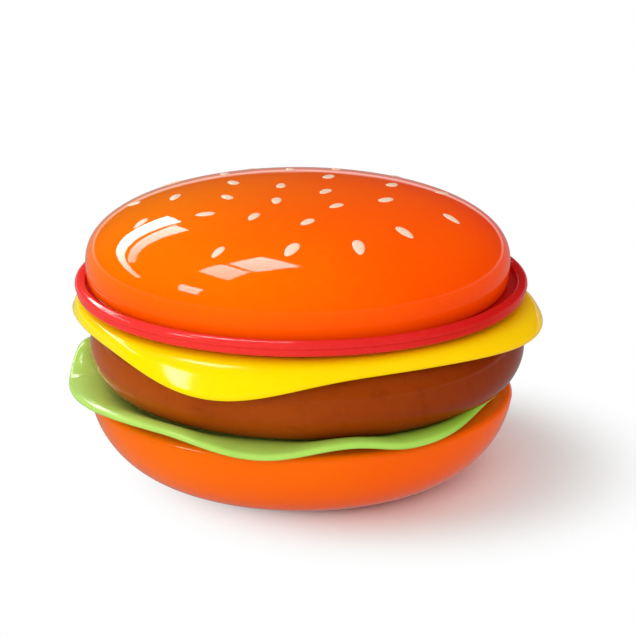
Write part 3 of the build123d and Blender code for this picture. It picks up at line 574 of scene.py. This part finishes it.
def make_leaf():
    """A sheet on the bun's rim whose height h(r, a) goes over from flat to the wave of its edge
    by 3s^2 - 2s^3, s being the way from the fold to the edge, over a hump of sin(pi u), u being
    the way from the patty's foot to the edge; its edge is a half round."""
    edge_radius, edge_height = (half_wave(leaf_waves, around) * MM).T
    share = np.linspace(0, 1, 46)[:, None]
    radius = leaf_inner_radius + (edge_radius - leaf_thickness / 2 - leaf_inner_radius) * share
    fold = np.clip((radius - leaf_fold_start) / (edge_radius - leaf_fold_start - 1.5 * MM), 0, 1)
    rise = fold ** 2 * (3 - 2 * fold)
    hump = np.sin(pi * np.clip((radius - leaf_hump_start) / (edge_radius - leaf_hump_start), 0, 1))
    height = (rim_seat_z + leaf_thickness / 2 + (edge_height - rim_seat_z) * rise
              + leaf_hump_height * hump)
    section = rounded_sheet(np.stack([radius, height], -1), leaf_thickness - 0.1 * MM)
    piece = ringed("lettuce_leaf", section, crease=60)
    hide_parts("lettuce_ring")
    return piece


def bowl_profile(inset):
    """Half section of the bowl, |r/a|^1.8 + |z/b|^1.8 = 1 outside a flat, smaller by an inset."""
    height = rim_seat_z - low("bottom_bun_shell")
    reach = bowl_radius - bowl_flat_radius
    return quarter((bowl_flat_radius, rim_seat_z), (reach - inset, height - inset),
                   (bowl_power, bowl_power), -90, 0, 80)


def make_bottom_bun():
    """A bowl with a rounded rim and a flange inside it; the bay of the line socket, the holes of
    the base screws and the slots of the sliding switches are cut out of it."""
    floor_z = low("bottom_bun_shell")
    outside = bowl_profile(0)
    keep = outside[outside[:, 1] < rim_seat_z - bowl_rim_round]
    edge = quarter((bowl_radius - bowl_rim_round, rim_seat_z - bowl_rim_round),
                   (bowl_rim_round, bowl_rim_round), (2, 2), 0, 90, 14)
    inside = bowl_profile(shell_wall)[::-1]
    inside = inside[inside[:, 1] < rim_seat_z - shell_wall]
    ledge_z = rim_seat_z - shell_wall
    flange = [(bowl_flange_radius, rim_seat_z), (bowl_flange_radius, ledge_z),
              (bowl_radius - shell_wall - 0.2 * MM, ledge_z)]
    floor = [(0, floor_z + shell_wall), (0, floor_z)]
    profile = np.concatenate([[(0, floor_z)], keep, edge, flange, inside, floor])
    piece = revolved("bottom_bun", profile, crease=40)
    socket_low, socket_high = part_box("line_socket")
    socket_middle = np.array([(socket_low.x + socket_high.x) / 2, (socket_low.z + socket_high.z) / 2])
    cutters = []
    through = (-10 * MM, floor_z + 2 * shell_wall)
    for at in screw_places("base_screws"):
        cutters.append(prism("hole", disc_outline(screw_hole_radius, at, 48), *through))
    for node, travel in [("ringer_slider", 2.0 * MM), ("dial_mode_slider", 1.5 * MM)]:
        x = (low(node, 0) + high(node, 0)) / 2
        if node == "dial_mode_slider":
            x += travel
        y = (low(node, 1) + high(node, 1)) / 2
        slot = block_outline(3.8 * MM + 2 * travel, 2.6 * MM, 0.5 * MM, (x, y))
        cutters.append(prism("slot", slot, *through))
    room = 0.1 * MM
    bay = socket_middle + block_outline(socket_high.x - socket_low.x + room,
                                        socket_high.z - socket_low.z + room, 0.5 * MM)
    ring = np.concatenate([bay, bay[:1]])
    cap = np.broadcast_to(socket_middle, ring.shape)
    rows = np.stack([cap, ring, ring, cap])
    start, stop = socket_low.y, socket_high.y + 30 * MM
    stations = np.broadcast_to(np.array([start, start, stop, stop])[:, None], rows.shape[:2])
    cutters.append(surface("bay", np.stack([rows[..., 0], stations, rows[..., 1]], -1), 30))
    carve(piece, cutters)
    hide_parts("bottom_bun_shell")
    return piece


# ------------------------------------------------------------------ keys

legends = {"key_star": "*", "key_hash": "#", "key_redial": "REDIAL", "key_flash": "FLASH",
           "key_mute": "MUTE"}
dish_depth = 0.35 * MM


def dish_height(x, y, half_width, half_depth, top):
    """Height of a key's dished top: lowest at the middle, |x/a|^2 + |y/b|^2 = 1 at the rim."""
    share = np.clip((x / half_width) ** 2 + (y / half_depth) ** 2, 0, 1)
    return top - dish_depth * (1 - share) ** 1.5


def make_key(node):
    """A cap of rounded rectangles stacked in Z: a flange, straight sides, a rounded edge and a
    dished top."""
    x, y, width, depth = key_place(node)
    bottom, top = low(node), high(node)
    corner = key_corner
    edge = 0.5 * MM
    stack = [(-key_flange, 1.0 * MM, bottom), (-key_flange, 1.0 * MM, bottom + 1.0 * MM),
             (0, corner, bottom + 1.0 * MM), (0, corner, top - edge)]
    for turn in np.radians([20, 40, 60, 80]):
        inset = edge * (1 - cos(turn))
        stack.append((inset, corner - inset / 2, top - edge * (1 - sin(turn))))
    rings = []
    for inset, round_corner, z in stack:
        ring = block_outline(width - 2 * inset, depth - 2 * inset, round_corner)
        rings.append(np.concatenate([ring, np.full((len(ring), 1), z)], 1))
    half_width, half_depth = width / 2 - edge, depth / 2 - edge
    lip = rings[-1][:, :2]
    for share in np.linspace(0.97, 0, 12):
        ring = lip * share
        z = dish_height(ring[:, 0], ring[:, 1], half_width, half_depth, top)
        rings.append(np.concatenate([ring, z[:, None]], 1))
    points = np.stack([np.concatenate([rings[0][:, :2] * 0, rings[0][:, 2:]], 1)] + rings)
    points[..., 0] += x
    points[..., 1] += y
    cap = surface(node.replace("key", "cap"), np.concatenate([points, points[:, :1]], 1), 35)
    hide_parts(node)
    words = bpy.data.curves.new("legend", "FONT")
    words.body = legends.get(node, node.removeprefix("key_"))
    words.align_x = "CENTER"
    words.align_y = "CENTER"
    words.size = (5.4 if len(words.body) == 1 else 2.1) * MM
    words.resolution_u = 6
    legend = flattened(node.replace("key", "legend"), words, Matrix.Identity(4))
    flat = np.empty(len(legend.data.vertices) * 3, np.float32)
    legend.data.vertices.foreach_get("co", flat)
    flat = flat.reshape(-1, 3)
    span = (flat.min(0) + flat.max(0)) / 2
    flat[:, :2] -= span[:2]
    flat[:, 2] = dish_height(flat[:, 0], flat[:, 1], half_width, half_depth, top) + 0.02 * MM
    flat[:, 0] += x
    flat[:, 1] += y
    legend.data.vertices.foreach_set("co", flat.ravel())
    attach(legend, node)
    return cap, legend


# ------------------------------------------------------------------ shader maths

def shade(code):
    """A linear colour from a hexadecimal sRGB code."""
    levels = [int(code[i:i + 2], 16) / 255 for i in (0, 2, 4)]
    return tuple(v / 12.92 if v < 0.04045 else ((v + 0.055) / 1.055) ** 2.4 for v in levels) + (1,)


class Wire:
    """An output socket; arithmetic on it adds Math nodes to its finish."""

    def __init__(self, finish, socket):
        self.finish = finish
        self.socket = socket

    def math(self, operation, *values):
        return self.finish.add("ShaderNodeMath", {"operation": operation}, dict(enumerate(values)))

    def __add__(self, other):
        return self.math("ADD", self, other)

    def __sub__(self, other):
        return self.math("SUBTRACT", self, other)

    def __rsub__(self, other):
        return self.math("SUBTRACT", other, self)

    def __mul__(self, other):
        return self.math("MULTIPLY", self, other)

    def __truediv__(self, other):
        return self.math("DIVIDE", self, other)

    def __pow__(self, other):
        return self.math("POWER", self, other)

    __radd__ = __add__
    __rmul__ = __mul__

    def limited(self):
        """The value kept between 0 and 1."""
        return self.finish.add("ShaderNodeClamp", {}, {"Value": self})

    def eased(self, start, stop):
        """0 below start, 1 above stop, a smooth step between."""
        return self.finish.add("ShaderNodeMapRange", {"interpolation_type": "SMOOTHSTEP"},
                               {"Value": self, "From Min": start, "From Max": stop})


class Finish:
    """A material with one Principled shader, built up from wires."""

    def __init__(self, name):
        self.material = bpy.data.materials.new(name)
        self.material.use_nodes = True
        self.tree = self.material.node_tree
        self.tree.nodes.clear()
        self.output = self.tree.nodes.new("ShaderNodeOutputMaterial")
        self.place = self.add("ShaderNodeTexCoord", output="Object")

    def add(self, kind, settings=None, inputs=None, output=0):
        """Adds a node: its settings first, then the values or wires of its sockets."""
        node = self.tree.nodes.new(kind)
        for key, value in (settings or {}).items():
            setattr(node, key, value)
        for key, value in (inputs or {}).items():
            if isinstance(value, Wire):
                self.tree.links.new(value.socket, node.inputs[key])
            else:
                node.inputs[key].default_value = value
        return Wire(self, node.outputs[output])

    def noise(self, scale, detail=2.0, stretch=(1, 1, 1), distortion=0.0, seat=(0, 0, 0)):
        """Noise of about 0.5 on average; scale is per metre."""
        where = self.add("ShaderNodeMapping", {},
                         {"Vector": self.place, "Scale": stretch, "Location": seat})
        return self.add("ShaderNodeTexNoise", {}, {"Vector": where, "Scale": scale, "Detail": detail,
                                                   "Distortion": distortion})

    def along(self, direction, middle=(0, 0, 0)):
        """Distance in metres from a point along a direction."""
        moved = self.add("ShaderNodeVectorMath", {"operation": "SUBTRACT"}, {0: self.place, 1: middle})
        return self.add("ShaderNodeVectorMath", {"operation": "DOT_PRODUCT"}, {0: moved, 1: direction},
                        output="Value")

    def blend(self, factor, first, second):
        """A colour between two others."""
        return self.add("ShaderNodeMix", {"data_type": "RGBA"}, {0: factor, 6: first, 7: second},
                        output=2)

    def bump(self, height, distance, strength=1.0):
        """A normal from a height of 0 to 1."""
        return self.add("ShaderNodeBump", {},
                        {"Height": height, "Distance": distance, "Strength": strength})

    def shader(self, inputs):
        """The Principled shader; returns the material."""
        made = self.add("ShaderNodeBsdfPrincipled", {}, inputs)
        self.tree.links.new(made.socket, self.output.inputs["Surface"])
        return self.material


# ------------------------------------------------------------------ finishes

# Painted light: the direction of the lit side. Moulded finishes are drawn lighter towards it and darker, as
# painted shade, away from it.
painted_light_side = (-0.906, 0.423, 0)


def moulded(name, light, deep, roughness=0.1, painted_shade_lean=0.35, extra=None):
    """Glossy moulded plastic: a slow change of tone, fine mottling, faint ripples left by the
    mould and small scuffs that dull the gloss. The tone also holds painted light and shade:
    the light colour on the lit side, the deep colour on the far side."""
    finish = Finish(name)
    drift = finish.noise(16, 2, seat=(0.3, 0.1, 0.2))
    mottle = finish.noise(420, 4)
    # Painted light and shade: distance towards the lit side, which moves the tone to the light colour there and to
    # the deep colour on the far side.
    side = finish.along(painted_light_side) / 0.06
    tone = (0.5 - side * painted_shade_lean + (drift - 0.5) * 0.5 + (mottle - 0.5) * 0.16).limited()
    colour = finish.blend(tone, shade(light), shade(deep))
    if extra:
        colour = extra(finish, colour)
    scuffs = finish.noise(130, 6, stretch=(1, 3, 1), distortion=0.6).eased(0.58, 0.8)
    haze = finish.noise(38, 3)
    rough = roughness + scuffs * 0.05 + (haze - 0.5) * 0.03
    ripple = finish.noise(85, 1) + finish.noise(1500, 2) * 0.05
    return finish.shader({
        "Base Color": colour, "Roughness": rough, "Normal": finish.bump(ripple, 0.00018, 0.3),
        "IOR": 1.33, "Specular IOR Level": 0.22})


def bun_foot_painted_shade(finish, colour):
    """Deeper orange towards the foot of the bun: painted shade where less light falls."""
    height = finish.along((0, 0, 1))
    foot_shade = 1 - height.eased(plate_top_z, bun_equator_z + 0.75 * bun_dome_height)
    # Painted shade: the lower part of the dome is mixed towards a deeper orange.
    return finish.blend(foot_shade * 0.5, colour, shade("FF4600"))


def leaf_veins_and_rim_highlight(finish, colour):
    """Soft veins that run outwards, and a paler rim along the leaf's rounded edge: a painted highlight."""
    x = finish.add("ShaderNodeSeparateXYZ", {}, {0: finish.place}, output="X")
    y = finish.add("ShaderNodeSeparateXYZ", {}, {0: finish.place}, output="Y")
    reach = (x * x + y * y) ** 0.5
    # Painted highlight: the outer few millimetres of the leaf are drawn paler.
    rim_highlight = reach.eased(0.062, 0.067)
    veins = finish.noise(60, 3, distortion=1.2).eased(0.42, 0.7)
    return finish.blend(rim_highlight * 0.55, finish.blend(veins * 0.18, colour, shade("6FAE22")), shade("B4E46A"))


def patty_sear(finish, colour):
    """Darker flecks and patches of a seared surface."""
    fleck = finish.noise(210, 5, distortion=0.8).eased(0.55, 0.72)
    patch = finish.noise(45, 3).eased(0.45, 0.7)
    flecked = finish.blend(fleck * 0.22, colour, shade("6A2206"))
    return finish.blend(patch * 0.3, flecked, shade("8A3008"))


def seed_finish():
    """Pale painted seeds, warmer at the middle, with a satin gloss."""
    finish = Finish("seed")
    cloud = finish.noise(300, 3)
    speck = finish.noise(2400, 2)
    colour = finish.blend((cloud * 0.8 + speck * 0.25 - 0.1).limited(), shade("FBDCC4"), shade("F0BE9C"))
    return finish.shader({"Base Color": colour, "Roughness": 0.3 + cloud * 0.12, "IOR": 1.33,
                          "Specular IOR Level": 0.22, "Normal": finish.bump(speck, 0.0001, 0.3)})


def metal(name, light, deep, roughness=0.32, stretch=(1, 1, 30), scale=240):
    """Metal with fine drawn lines, a few darker spots and an uneven shine."""
    finish = Finish(name)
    lines = finish.noise(scale, 3, stretch=stretch)
    spots = finish.noise(160, 4).eased(0.6, 0.75)
    colour = finish.blend((lines * 0.6 + spots * 0.4).limited(), shade(light), shade(deep))
    return finish.shader({"Base Color": colour, "Metallic": 1.0,
                          "Roughness": roughness + (lines - 0.5) * 0.18,
                          "Normal": finish.bump(lines, 0.00004, 0.5)})


def matte(name, light, deep, roughness=0.6, grain=700, depth=0.0001, sheen=0.0):
    """Rubber, resin, foam or sleeve: a fine grain, dust in its hollows and a dull shine."""
    finish = Finish(name)
    fine = finish.noise(grain, 3)
    dust = finish.noise(90, 4).eased(0.5, 0.8)
    colour = finish.blend((fine * 0.5 + dust * 0.4).limited(), shade(deep), shade(light))
    return finish.shader({"Base Color": colour,
                          "Roughness": roughness + (fine - 0.5) * 0.16 + dust * 0.05,
                          "Normal": finish.bump(fine, depth, 0.6), "Sheen Weight": sheen})


def circuit(name):
    """Green circuit board: straight traces under the lacquer, drawn by two crossed waves."""
    finish = Finish(name)
    traces = [finish.add("ShaderNodeTexWave", {"bands_direction": axis, "wave_profile": "SIN"},
                         {"Vector": finish.place, "Scale": 130.0, "Distortion": 4.0, "Detail": 1.0,
                          "Detail Scale": 0.6}, output="Fac").eased(0.72, 0.82) for axis in ("X", "Y")]
    grain = finish.noise(900, 2)
    drawn = (traces[0] * 0.6 + traces[1] * 0.4).limited()
    colour = finish.blend(drawn, shade("1E5A2C"), shade("3C8A48"))
    return finish.shader({"Base Color": colour, "Roughness": 0.32 + grain * 0.15,
                          "Normal": finish.bump(traces[0] + grain * 0.2, 0.00004, 0.5),
                          "Coat Weight": 0.3})


# Each pair is a light and a deep colour. The tone between them is partly random variation of the plastic and
# partly painted shade: light on the lit side, deep on the far side, by the fifth number (none on the keys).
bun_material = moulded("bun_orange", "FF8000", "FF4400", 0.03, 0.5, bun_foot_painted_shade)
base_bun_material = moulded("base_bun_orange", "FF7800", "FF5600", 0.16, 0.35)
tomato_material = moulded("tomato_red", "FC403C", "C80806", 0.1, 0.45)
cheese_material = moulded("cheese_yellow", "FFE800", "FFC800", 0.12, 0.45)
patty_material = moulded("patty_brown", "B8540A", "7A2002", 0.12, 0.45, patty_sear)
leaf_material = moulded("lettuce_green", "C8EE74", "86B820", 0.16, 0.45, leaf_veins_and_rim_highlight)
key_material = moulded("key_ivory", "FFF6DE", "F4E2BC", 0.2, 0.0)
legend_material = matte("legend_brown", "6A3A18", "4E2810", 0.45, 900, 0.00003)
seed_material = seed_finish()
steel_material = metal("steel", "D8D9DC", "9C9EA4")
spring_material = metal("spring_steel", "C6C8CC", "84868C", 0.26)
brass_material = metal("brass", "E8C468", "A8843A", 0.28)
iron_material = metal("iron", "9A9A9C", "5C5C60", 0.5, (1, 1, 1), 420)
can_material = metal("can", "D2D4DA", "A2A6B0", 0.24, (1, 1, 6), 300)
rubber_material = matte("rubber", "46464A", "242426", 0.72)
silicone_material = matte("silicone", "C9CCCE", "A4A8AC", 0.5)
black_material = matte("black_resin", "303236", "17181A", 0.42, 500)
white_material = matte("white_resin", "F2F0EA", "D8D4CA", 0.4, 500)
sleeve_material = matte("capacitor_sleeve", "2A3C78", "182450", 0.35, 300)
foam_material = matte("foam", "55565A", "303134", 0.9, 1100, 0.0003, 0.2)
board_material = circuit("circuit_board")

slot_materials = {
    "bun": bun_material, "seed": seed_material, "tomato": tomato_material, "cheese": cheese_material,
    "patty": patty_material, "leaf": leaf_material, "key": key_material, "steel": steel_material,
    "spring": spring_material, "rubber": rubber_material, "silicone": silicone_material,
    "board": board_material, "black": black_material, "can": can_material, "brass": brass_material,
    "white": white_material, "iron": iron_material, "sleeve": sleeve_material, "foam": foam_material,
}


# ------------------------------------------------------------------ the whole

def dress(piece, body, material):
    """Puts a piece on its body and gives it its finish."""
    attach(piece, body)
    piece.data.materials.clear()
    piece.data.materials.append(material)


dress(make_top_bun(), "lid", bun_material)
dress(make_seeds(), "lid", seed_material)
dress(make_tomato_rim(), "lid", tomato_material)
dress(make_tomato_floor(), "lid", tomato_material)
dress(make_lid_knuckle(), "lid", tomato_material)
dress(make_cheese(), "base", cheese_material)
dress(make_cheese_panel(), "base", cheese_material)
dress(make_base_knuckles(), "base", cheese_material)
dress(make_patty(), "base", patty_material)
dress(make_leaf(), "base", leaf_material)
dress(make_bottom_bun(), "base", base_bun_material)
for node in digit_nodes + function_nodes:
    cap, legend = make_key(node)
    dress(cap, node, key_material)
    dress(legend, node, legend_material)

node_slots = {entry["node"]: entry["material_slot"] for entry in frame["record"]["subparts"]}
for node, shown in frame["nodes"].items():
    shown.data.materials.clear()
    shown.data.materials.append(slot_materials[node_slots[node]])


# ------------------------------------------------------------------ stage, light and camera

def heading(azimuth, elevation):
    """Direction from the middle of the part, the azimuth counted from the camera's side."""
    a, e = radians(azimuth - 25), radians(elevation)
    return Vector((sin(a) * cos(e), -cos(a) * cos(e), sin(e)))


middle = Vector((0, 0, 0.045))


def lamp(name, azimuth, elevation, size, power, distance=2.2):
    """A rectangular softbox that faces the middle of the part and isn't seen in reflections."""
    light = bpy.data.lights.new(name, "AREA")
    light.shape = "RECTANGLE"
    light.size, light.size_y = size
    light.energy = power
    holder = bpy.data.objects.new(name, light)
    bpy.context.scene.collection.objects.link(holder)
    way = heading(azimuth, elevation)
    holder.location = middle + way * distance
    holder.rotation_mode = "QUATERNION"
    holder.rotation_quaternion = way.to_track_quat("Z", "Y")
    holder.visible_glossy = False


shadow_middle = heading(90, 0) * 0.03


def floor_material():
    """Matte white paper that keeps the shadow beside the part and fades to the white of the
    background further out; reflections see an even, dimmer white. The shadow falls towards +X."""
    finish = Finish("paper")
    grain = finish.noise(300, 3)
    tone = finish.blend(grain, shade("F2F7F8"), shade("EEF3F4"))
    paper = finish.add("ShaderNodeBsdfDiffuse", {}, {"Color": tone})
    looked_at = finish.add("ShaderNodeLightPath", {}, {}, output="Is Camera Ray")
    mirrored = (finish.add("ShaderNodeLightPath", {}, {}, output="Is Glossy Ray")
                + finish.add("ShaderNodeLightPath", {}, {}, output="Is Transmission Ray"))
    white = finish.add("ShaderNodeEmission", {},
                       {"Color": (1, 1, 1, 1), "Strength": 1 - mirrored * 0.65})
    reach = finish.add("ShaderNodeVectorMath", {"operation": "DISTANCE"},
                       {0: finish.place, 1: shadow_middle}, output="Value")
    far = (reach.eased(0.04, 0.085) * looked_at + mirrored).limited()
    made = finish.add("ShaderNodeMixShader", {}, {0: far, 1: paper, 2: white})
    finish.tree.links.new(made.socket, finish.output.inputs["Surface"])
    return finish.material


floor_mesh = bpy.data.meshes.new("floor")
floor_mesh.from_pydata([(-4, -4, 0), (4, -4, 0), (4, 4, 0), (-4, 4, 0)], [], [(0, 1, 2, 3)])
floor = bpy.data.objects.new("floor", floor_mesh)
bpy.context.scene.collection.objects.link(floor)
floor_mesh.materials.append(floor_material())


def pane(name, corners, radiance, distance=5.0):
    """A glowing sheet that only reflections show, its corners in directions from the middle of
    the part."""
    mesh = bpy.data.meshes.new(name)
    mesh.from_pydata([middle + heading(*corner) * distance for corner in corners], [], [(0, 1, 2, 3)])
    glow = Finish(name)
    light = glow.add("ShaderNodeEmission", {}, {"Color": (1, 1, 1, 1), "Strength": radiance})
    glow.tree.links.new(light.socket, glow.output.inputs["Surface"])
    mesh.materials.append(glow.material)
    sheet = bpy.data.objects.new(name, mesh)
    bpy.context.scene.collection.objects.link(sheet)
    sheet.visible_camera = False
    sheet.visible_diffuse = False
    sheet.visible_shadow = False


pane("roof_window_left", [(-112, 60), (-139, 63.5), (-126, 75), (-79, 67)], 30)
pane("roof_window_right", [(-143.5, 64.2), (-167, 60.2), (-182, 72.8), (-130, 76)], 30)
pane("long_window_low", [(-100, 22.5), (-134, 24.5), (-134, 29.5), (-100, 27)], 22)
pane("long_window_far", [(-134, 24.5), (-166, 24), (-166, 29), (-134, 29.5)], 22)
pane("long_window_high", [(-123, 30.5), (-164, 30.5), (-164, 35), (-123, 35)], 12)
pane("side_window", [(-79, 42), (-61, 42.6), (-57.5, 27.8), (-71, 29.3)], 40)

world = bpy.data.worlds.new("studio")
bpy.context.scene.world = world
world.use_nodes = True
room = world.node_tree
room.nodes.clear()
rays = room.nodes.new("ShaderNodeLightPath")
where = room.nodes.new("ShaderNodeTexCoord")
split = room.nodes.new("ShaderNodeSeparateXYZ")
room.links.new(where.outputs["Generated"], split.inputs[0])
horizon = room.nodes.new("ShaderNodeMapRange")
horizon.interpolation_type = "SMOOTHSTEP"
for socket, value in (("From Min", 0.02), ("From Max", 0.07), ("To Min", 1.0), ("To Max", 0.05)):
    horizon.inputs[socket].default_value = value
room.links.new(split.outputs["Z"], horizon.inputs["Value"])
soft = room.nodes.new("ShaderNodeMix")
soft.inputs["B"].default_value = 0.72
room.links.new(rays.outputs["Is Diffuse Ray"], soft.inputs["Factor"])
room.links.new(horizon.outputs[0], soft.inputs["A"])
seen = room.nodes.new("ShaderNodeMix")
seen.inputs["B"].default_value = 1.0
room.links.new(rays.outputs["Is Camera Ray"], seen.inputs["Factor"])
room.links.new(soft.outputs[0], seen.inputs["A"])
background = room.nodes.new("ShaderNodeBackground")
background.inputs["Color"].default_value = (1, 1, 1, 1)
room.links.new(seen.outputs[0], background.inputs["Strength"])
world_output = room.nodes.new("ShaderNodeOutputWorld")
room.links.new(background.outputs[0], world_output.inputs["Surface"])

lamp("key", -105, 55, (1.6, 1.2), 12.0)
lamp("fill", -25, 20, (1.8, 1.0), 14.0)
lamp("right_fill", 50, 25, (1.4, 1.0), 5.0)

camera_data = bpy.data.cameras.new("camera")
camera = bpy.data.objects.new("camera", camera_data)
bpy.context.scene.collection.objects.link(camera)
camera_data.sensor_width = 36.0
camera_data.lens = 126.9
camera_data.shift_x = 0.0266
aim = Vector((0, 0, 0.04305))
back = heading(0, 17.68)
camera.location = aim + back * 0.65
camera.rotation_mode = "QUATERNION"
camera.rotation_quaternion = back.to_track_quat("Z", "Y")
bpy.context.scene.camera = camera
bpy.context.scene.view_settings.view_transform = "Standard"
